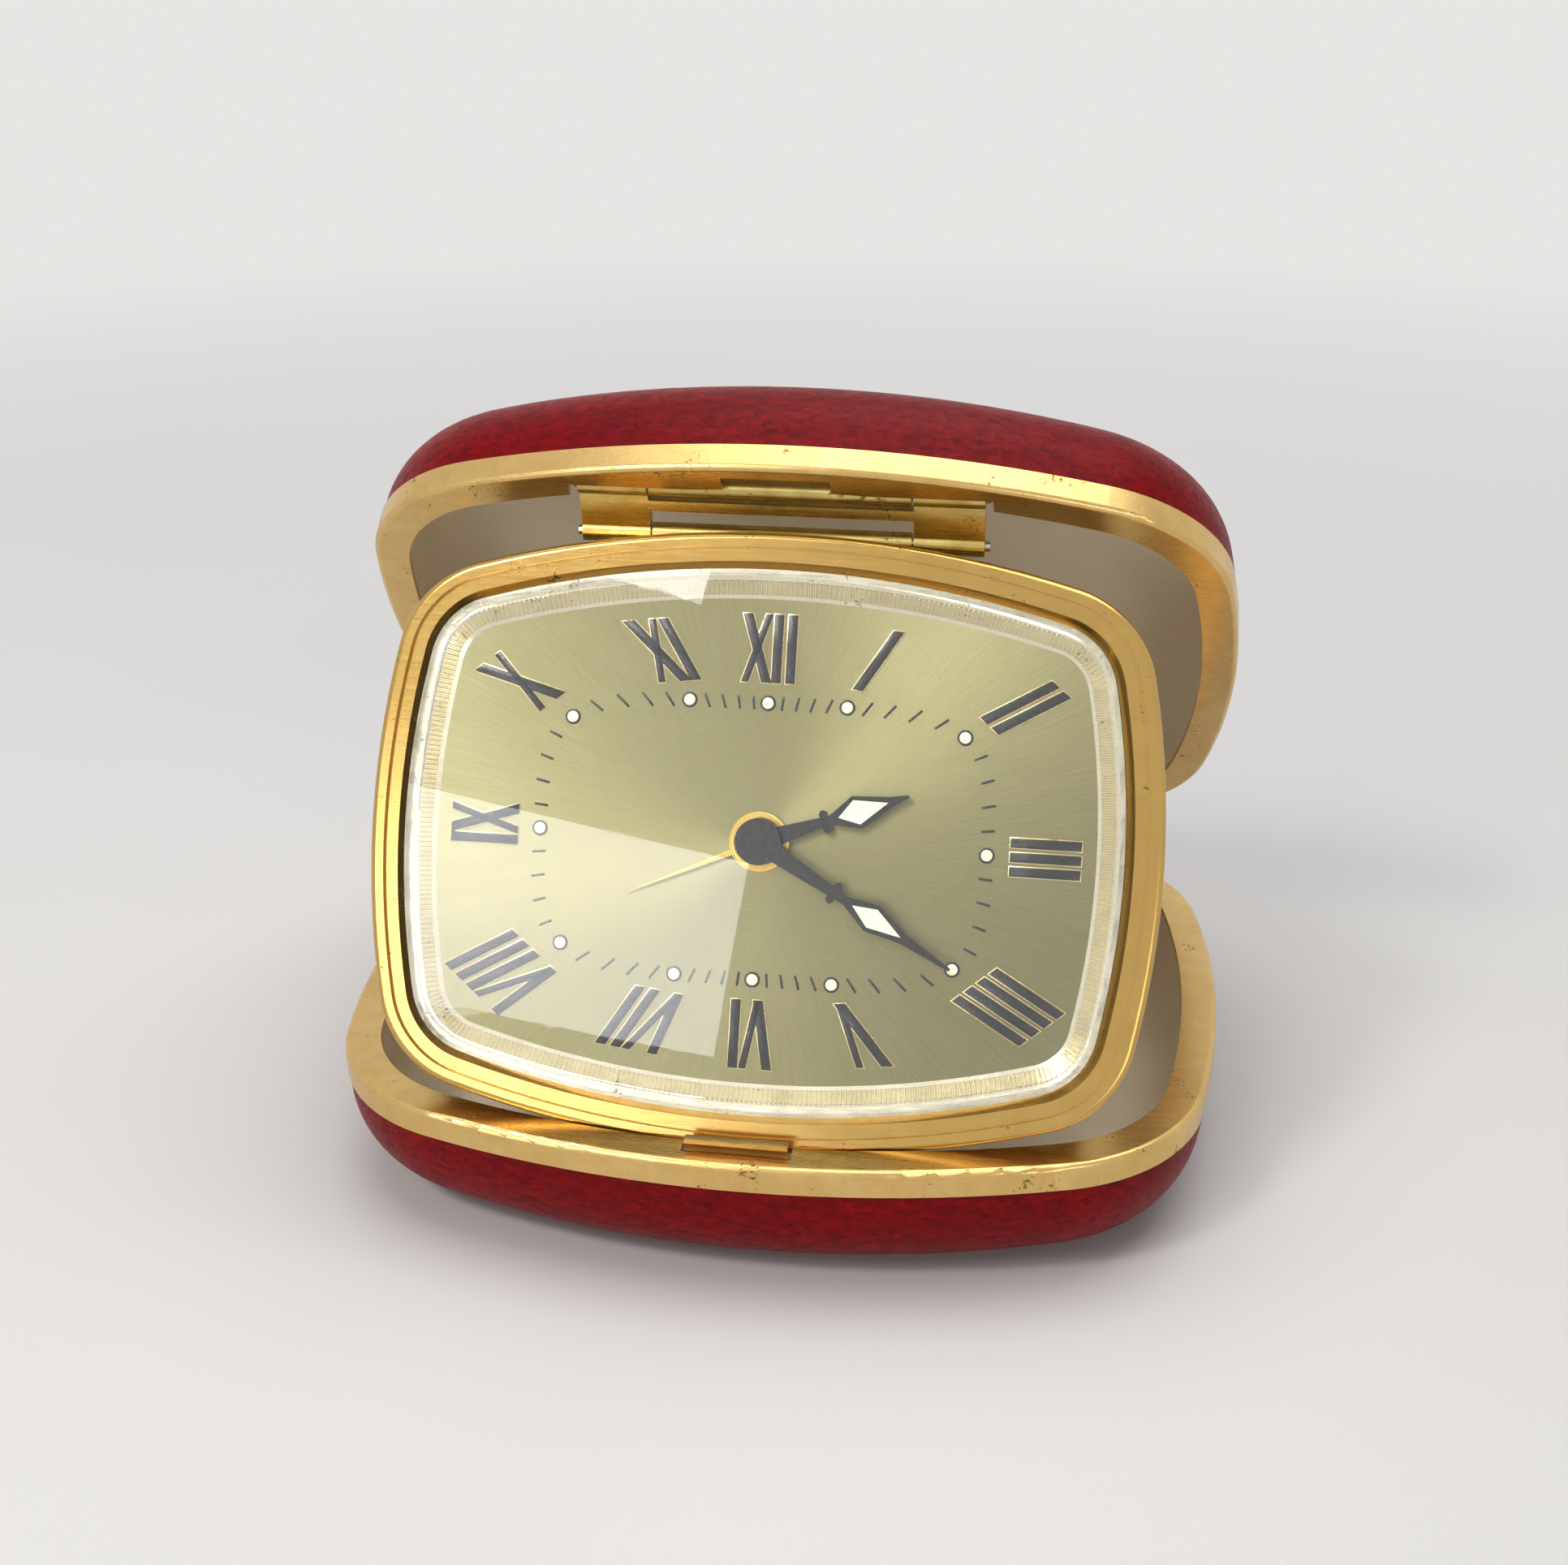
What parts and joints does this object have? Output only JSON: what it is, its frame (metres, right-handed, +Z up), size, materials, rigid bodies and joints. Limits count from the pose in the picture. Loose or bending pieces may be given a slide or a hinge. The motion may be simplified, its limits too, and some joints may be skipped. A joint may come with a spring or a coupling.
{
  "type": "folding travel alarm clock",
  "caption": "Clamshell travel alarm clock in red leather with brass rims, its clock head hung from the lid by a link and propped on the lower half.",
  "frame": {"origin": "centre of the flat rest face under the lower half", "axes": "+X to the reader's right, +Y away from the reader, +Z up"},
  "size_m": [0.09, 0.0827, 0.0777],
  "materials": {
    "red_leather": "glossy crimson leather",
    "case_steel": "plain steel",
    "cream_lining": "cream ribbed cloth",
    "rim_brass": "satin gilt brass, worn",
    "pin_steel": "turned steel",
    "housing_nickel": "polished nickel plate",
    "clear_crystal": "clear domed",
    "dial_gold": "champagne sunburst",
    "hand_black": "black lacquer",
    "hand_fill": "pale glow paint",
    "alarm_gold": "gilt",
    "movement_brass": "plain brass",
    "key_brass": "gilt brass"
  },
  "bodies": {
    "base": {"base_leather": "red_leather", "base_shell": "case_steel", "base_lining": "cream_lining", "base_rim": "rim_brass", "base_hinge_leaf": "rim_brass", "hinge_pin": "pin_steel"},
    "lid": {"lid_leather": "red_leather", "lid_shell": "case_steel", "lid_lining": "cream_lining", "lid_rim": "rim_brass", "lid_hinge_leaf": "rim_brass", "lid_link_barrel": "rim_brass"},
    "link": {"link_plate": "rim_brass", "link_upper_pin": "pin_steel", "link_lower_pin": "pin_steel"},
    "clock": {"clock_link_barrel": "rim_brass", "bezel": "rim_brass", "crystal": "clear_crystal", "reflector_ring": "housing_nickel", "dial": "dial_gold", "rear_housing": "housing_nickel", "back_cover": "housing_nickel", "cover_screws": "pin_steel", "front_plate": "movement_brass", "back_plate": "movement_brass", "plate_pillars": "movement_brass", "hairspring": "pin_steel"},
    "minute_hand": {"minute_hand": "hand_black", "minute_hand_fill": "hand_fill", "minute_arbor": "pin_steel", "cannon_pinion": "movement_brass", "hand_setting_knob": "key_brass"},
    "hour_hand": {"hour_hand": "hand_black", "hour_hand_fill": "hand_fill", "hour_wheel": "movement_brass"},
    "minute_wheel": {"minute_wheel": "movement_brass"},
    "alarm_set": {"alarm_setting_knob": "key_brass", "alarm_setting_arbor": "pin_steel"},
    "alarm_hand": {"alarm_hand": "alarm_gold", "alarm_wheel": "movement_brass"},
    "going_key": {"going_key": "key_brass"},
    "alarm_key": {"alarm_key": "key_brass"},
    "going_barrel": {"going_barrel": "movement_brass"},
    "alarm_barrel": {"alarm_barrel": "movement_brass"},
    "centre_wheel": {"centre_wheel": "movement_brass"},
    "third_wheel": {"third_wheel": "movement_brass"},
    "fourth_wheel": {"fourth_wheel": "movement_brass"},
    "escape_wheel": {"escape_wheel": "movement_brass"},
    "lever": {"lever": "pin_steel"},
    "balance_wheel": {"balance_wheel": "movement_brass"},
    "alarm_hammer": {"alarm_hammer": "pin_steel"},
    "regulator_lever": {"regulator_lever": "key_brass"},
    "alarm_stop": {"alarm_stop_slide": "key_brass"},
    "catch": {"base_catch": "rim_brass"}
  },
  "joints": [
    {"name": "lid_hinge", "type": "hinge", "parent": "base", "child": "lid", "pos_m": [0, 0.0384, 0.0146], "axis": [1, 0, 0], "range_deg": [-60, 0]},
    {"name": "link_hinge", "type": "hinge", "parent": "lid", "child": "link", "pos_m": [0, -0.00664, 0.0695], "axis": [1, 0, 0], "range_deg": [0, 26.58]},
    {"name": "clock_hinge", "type": "hinge", "parent": "link", "child": "clock", "pos_m": [0, -0.00537, 0.06439], "axis": [1, 0, 0], "range_deg": [0, 38.37]},
    {"name": "minute_hand_turn", "type": "hinge", "parent": "clock", "child": "minute_hand", "pos_m": [0, -0.02017, 0.03915], "axis": [0, -0.91, 0.4147], "continuous": true},
    {"name": "hour_hand_turn", "type": "hinge", "parent": "clock", "child": "hour_hand", "pos_m": [0, -0.02017, 0.03915], "axis": [0, -0.91, 0.4147], "continuous": true},
    {"name": "minute_wheel_turn", "type": "hinge", "parent": "clock", "child": "minute_wheel", "pos_m": [0.00336, -0.02258, 0.03385], "axis": [0, -0.91, 0.4147], "continuous": true},
    {"name": "alarm_set_turn", "type": "hinge", "parent": "clock", "child": "alarm_set", "pos_m": [-0.00574, -0.01677, 0.0466], "axis": [0, -0.91, 0.4147], "continuous": true},
    {"name": "alarm_hand_turn", "type": "hinge", "parent": "clock", "child": "alarm_hand", "pos_m": [0, -0.02017, 0.03915], "axis": [0, -0.91, 0.4147], "continuous": true},
    {"name": "going_key_turn", "type": "hinge", "parent": "clock", "child": "going_key", "pos_m": [-0.01269, -0.02262, 0.03377], "axis": [0, -0.91, 0.4147], "continuous": true},
    {"name": "alarm_key_turn", "type": "hinge", "parent": "clock", "child": "alarm_key", "pos_m": [0.0125, -0.02411, 0.03051], "axis": [0, -0.91, 0.4147], "continuous": true},
    {"name": "fourth_wheel_turn", "type": "hinge", "parent": "clock", "child": "fourth_wheel", "pos_m": [0.00945, -0.01536, 0.0497], "axis": [0, -0.91, 0.4147], "continuous": true},
    {"name": "third_wheel_turn", "type": "hinge", "parent": "clock", "child": "third_wheel", "pos_m": [0.00242, -0.01642, 0.04738], "axis": [0, -0.91, 0.4147], "continuous": true},
    {"name": "centre_wheel_turn", "type": "hinge", "parent": "clock", "child": "centre_wheel", "pos_m": [0, -0.02017, 0.03915], "axis": [0, -0.91, 0.4147], "continuous": true},
    {"name": "going_barrel_turn", "type": "hinge", "parent": "clock", "child": "going_barrel", "pos_m": [-0.01269, -0.02262, 0.03377], "axis": [0, -0.91, 0.4147], "continuous": true},
    {"name": "escape_wheel_turn", "type": "hinge", "parent": "clock", "child": "escape_wheel", "pos_m": [0.015, -0.01643, 0.04735], "axis": [0, -0.91, 0.4147], "continuous": true},
    {"name": "alarm_barrel_turn", "type": "hinge", "parent": "clock", "child": "alarm_barrel", "pos_m": [0.0125, -0.02411, 0.03051], "axis": [0, -0.91, 0.4147], "continuous": true},
    {"name": "lever_rock", "type": "hinge", "parent": "clock", "child": "lever", "pos_m": [0.01717, -0.01582, 0.04868], "axis": [0, -0.91, 0.4147], "range_deg": [-5, 5]},
    {"name": "balance_swing", "type": "hinge", "parent": "clock", "child": "balance_wheel", "pos_m": [0.0212, -0.0147, 0.05116], "axis": [0, -0.91, 0.4147], "range_deg": [-135, 135], "stiffness_Nm_per_rad": 0.00001},
    {"name": "alarm_hammer_swing", "type": "hinge", "parent": "clock", "child": "alarm_hammer", "pos_m": [0.0015, -0.0266, 0.02505], "axis": [0, -0.91, 0.4147], "range_deg": [-8, 8], "stiffness_Nm_per_rad": 0.002},
    {"name": "regulator_turn", "type": "hinge", "parent": "clock", "child": "regulator_lever", "pos_m": [0.0212, -0.0147, 0.05116], "axis": [0, -0.91, 0.4147], "range_deg": [-20, 20]},
    {"name": "alarm_stop_travel", "type": "slide", "parent": "clock", "child": "alarm_stop", "axis": [0, 0.4147, 0.91], "range_m": [0, 0.0028]},
    {"name": "catch_travel", "type": "slide", "parent": "base", "child": "catch", "axis": [0, 1, 0], "range_m": [0, 0.0005], "stiffness_N_per_m": 2000}
  ],
  "couplings": [
    {"joint": "hour_hand_turn", "follows": "minute_hand_turn", "ratio": 0.083333},
    {"joint": "minute_wheel_turn", "follows": "minute_hand_turn", "ratio": -0.33333},
    {"joint": "alarm_hand_turn", "follows": "alarm_set_turn", "ratio": -0.33333},
    {"joint": "third_wheel_turn", "follows": "fourth_wheel_turn", "ratio": -0.13333},
    {"joint": "centre_wheel_turn", "follows": "fourth_wheel_turn", "ratio": 0.016667},
    {"joint": "going_barrel_turn", "follows": "fourth_wheel_turn", "ratio": -0.002381},
    {"joint": "escape_wheel_turn", "follows": "fourth_wheel_turn", "ratio": -8}
  ]
}
